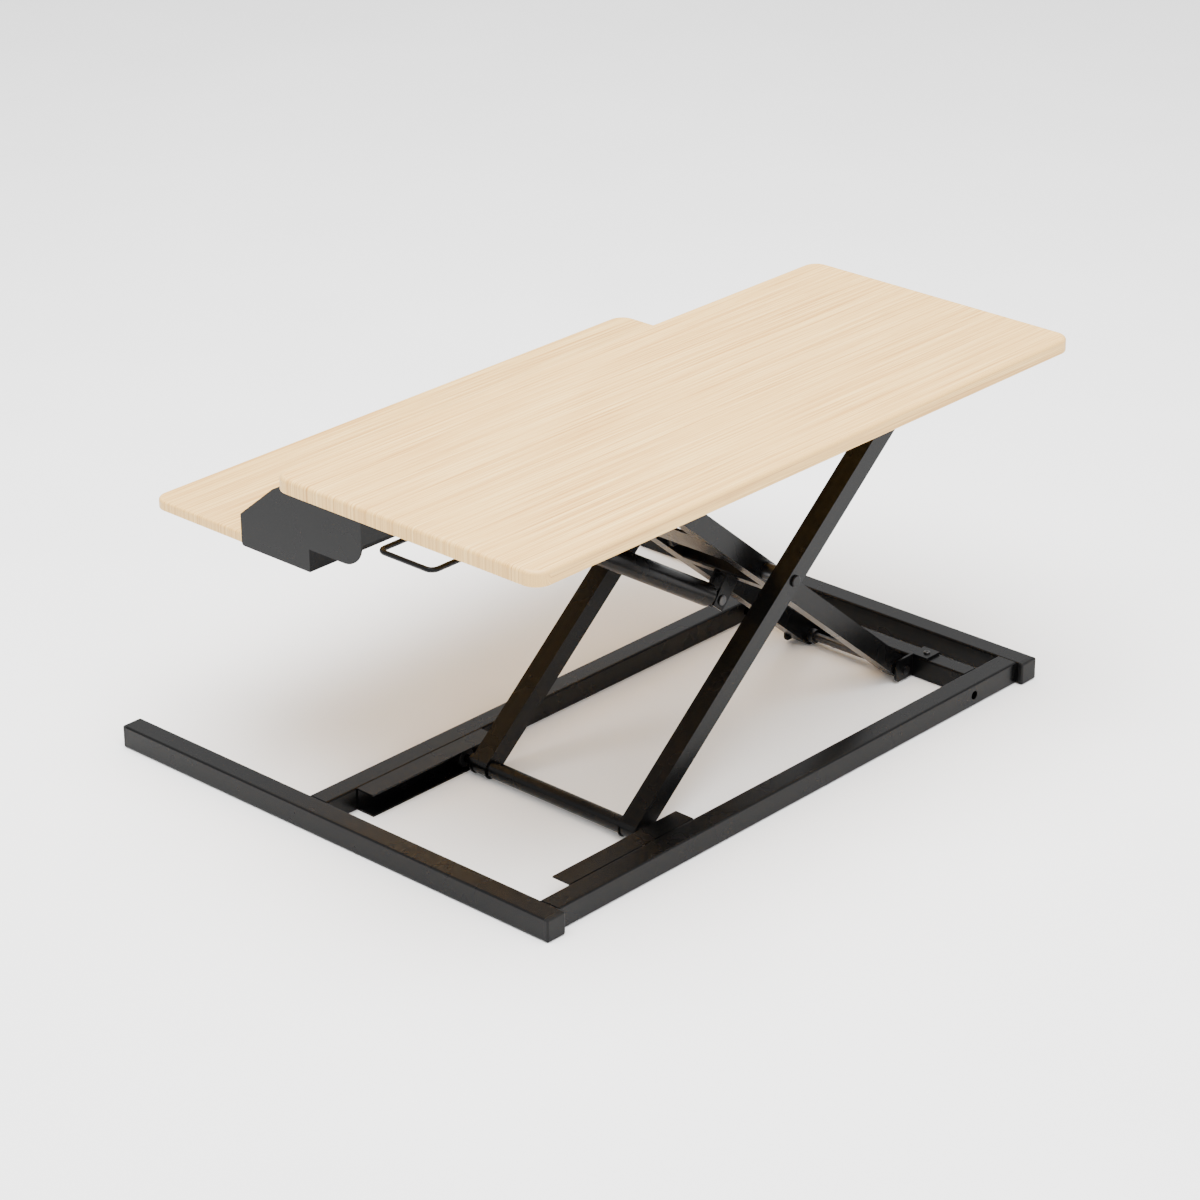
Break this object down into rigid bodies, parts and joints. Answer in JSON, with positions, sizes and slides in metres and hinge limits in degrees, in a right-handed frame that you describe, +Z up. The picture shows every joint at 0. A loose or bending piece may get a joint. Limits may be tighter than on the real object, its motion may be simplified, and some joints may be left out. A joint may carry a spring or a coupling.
{
  "type": "standing desk converter",
  "caption": "Worktop riser: a wood-grain desktop over a fixed lower keyboard tray, lifted on a scissor frame with a gas spring and release handle, on an open tube base.",
  "frame": {"origin": "middle of the whole outline's footprint, on the surface it stands on, with the desktop raised as at rest", "axes": "+X along the desktop's width to the user's right (the release handle's side), +Y away from the user, +Z up"},
  "size_m": [0.914, 0.691, 0.4346],
  "materials": {
    "wood_laminate": "pale fine-grained laminate, satin",
    "black_steel": "black powder coat, semi-gloss",
    "black_plastic": "moulded black nylon",
    "plated_steel": "black zinc plate",
    "chromed_rod": "hard chrome"
  },
  "bodies": {
    "base": {"foot_right": "black_steel", "foot_left": "black_steel", "foot_end_caps": "black_plastic", "rail_rear": "black_steel", "rail_front": "black_steel", "hinge_cross_tube": "black_steel", "lower_channel_rear": "black_steel", "lower_channel_front": "black_steel", "hinge_bracket_rear": "black_steel", "hinge_bracket_front": "black_steel", "hinge_bracket_screws": "plated_steel", "hinge_shaft": "plated_steel", "shaft_collars": "plated_steel"},
    "inner_frame": {"inner_arm_rear": "black_steel", "inner_arm_front": "black_steel", "upper_slide_rod": "black_steel", "inner_cross_plate": "black_steel", "spring_cross_tube": "black_steel", "spring_lugs": "black_steel", "spring_lower_pin": "plated_steel"},
    "outer_frame": {"outer_arm_rear": "black_steel", "outer_arm_front": "black_steel", "lower_slide_rod": "black_steel", "pivot_bolts": "black_steel", "pivot_spacers": "plated_steel", "pivot_nuts": "plated_steel"},
    "desktop": {"desktop_board": "wood_laminate", "desktop_screws": "plated_steel", "upper_channel_rear": "black_steel", "upper_channel_front": "black_steel", "top_hinge_bracket_rear": "black_steel", "top_hinge_bracket_front": "black_steel", "top_hinge_pins": "plated_steel", "tray_bracket_right": "black_steel", "tray_bracket_left": "black_steel", "tray_back_panel": "black_steel", "keyboard_tray": "wood_laminate", "tray_screws": "plated_steel", "handle_brackets": "black_steel", "spring_top_bracket": "black_steel", "spring_top_pin": "plated_steel"},
    "lower_wheel_rear": {"lower_roller_rear": "black_plastic"},
    "lower_wheel_front": {"lower_roller_front": "black_plastic"},
    "upper_wheel_rear": {"upper_roller_rear": "black_plastic"},
    "upper_wheel_front": {"upper_roller_front": "black_plastic"},
    "gas_cylinder_body": {"gas_cylinder": "black_steel"},
    "gas_rod_body": {"gas_rod": "chromed_rod"},
    "handle": {"release_handle": "black_steel"}
  },
  "joints": [
    {"name": "lift", "type": "hinge", "parent": "base", "child": "inner_frame", "pos_m": [-0.3067, 0.14008, 0.014], "axis": [0, -1, 0], "range_deg": [-27, 3]},
    {"name": "cross_pivot", "type": "hinge", "parent": "inner_frame", "child": "outer_frame", "pos_m": [-0.04521, 0.14008, 0.23381], "axis": [0, -1, 0], "range_deg": [-6.5, 54.5]},
    {"name": "top_hinge", "type": "hinge", "parent": "outer_frame", "child": "desktop", "pos_m": [-0.24355, 0.14008, 0.40052], "axis": [0, -1, 0], "range_deg": [-27.5, 3.5]},
    {"name": "lower_wheel_rear_spin", "type": "hinge", "parent": "outer_frame", "child": "lower_wheel_rear", "pos_m": [0.21628, 0.2928, 0.014], "axis": [0, -1, 0], "continuous": true},
    {"name": "lower_wheel_front_spin", "type": "hinge", "parent": "outer_frame", "child": "lower_wheel_front", "pos_m": [0.21628, -0.0126, 0.014], "axis": [0, -1, 0], "continuous": true},
    {"name": "upper_wheel_rear_spin", "type": "hinge", "parent": "inner_frame", "child": "upper_wheel_rear", "pos_m": [0.15313, 0.2425, 0.40052], "axis": [0, -1, 0], "continuous": true},
    {"name": "upper_wheel_front_spin", "type": "hinge", "parent": "inner_frame", "child": "upper_wheel_front", "pos_m": [0.15313, 0.0377, 0.40052], "axis": [0, -1, 0], "continuous": true},
    {"name": "gas_spring_foot", "type": "hinge", "parent": "inner_frame", "child": "gas_cylinder_body", "pos_m": [-0.05516, 0.14008, 0.16979], "axis": [0, -1, 0], "range_deg": [-2, 13.5]},
    {"name": "gas_spring_head", "type": "hinge", "parent": "desktop", "child": "gas_rod_body", "pos_m": [0.28995, 0.14008, 0.38502], "axis": [0, -1, 0], "range_deg": [-14.5, 2]},
    {"name": "release", "type": "hinge", "parent": "desktop", "child": "handle", "pos_m": [0.385, 0.14848, 0.38972], "axis": [0, -1, 0], "range_deg": [0, 12], "stiffness_Nm_per_rad": 0.5, "springref_deg": -11.46}
  ],
  "couplings": [
    {"joint": "cross_pivot", "follows": "lift", "ratio": -2},
    {"joint": "top_hinge", "follows": "lift", "ratio": 1},
    {"joint": "gas_spring_foot", "follows": "lift", "ratio": -0.482},
    {"joint": "gas_spring_head", "follows": "lift", "ratio": 0.518}
  ]
}
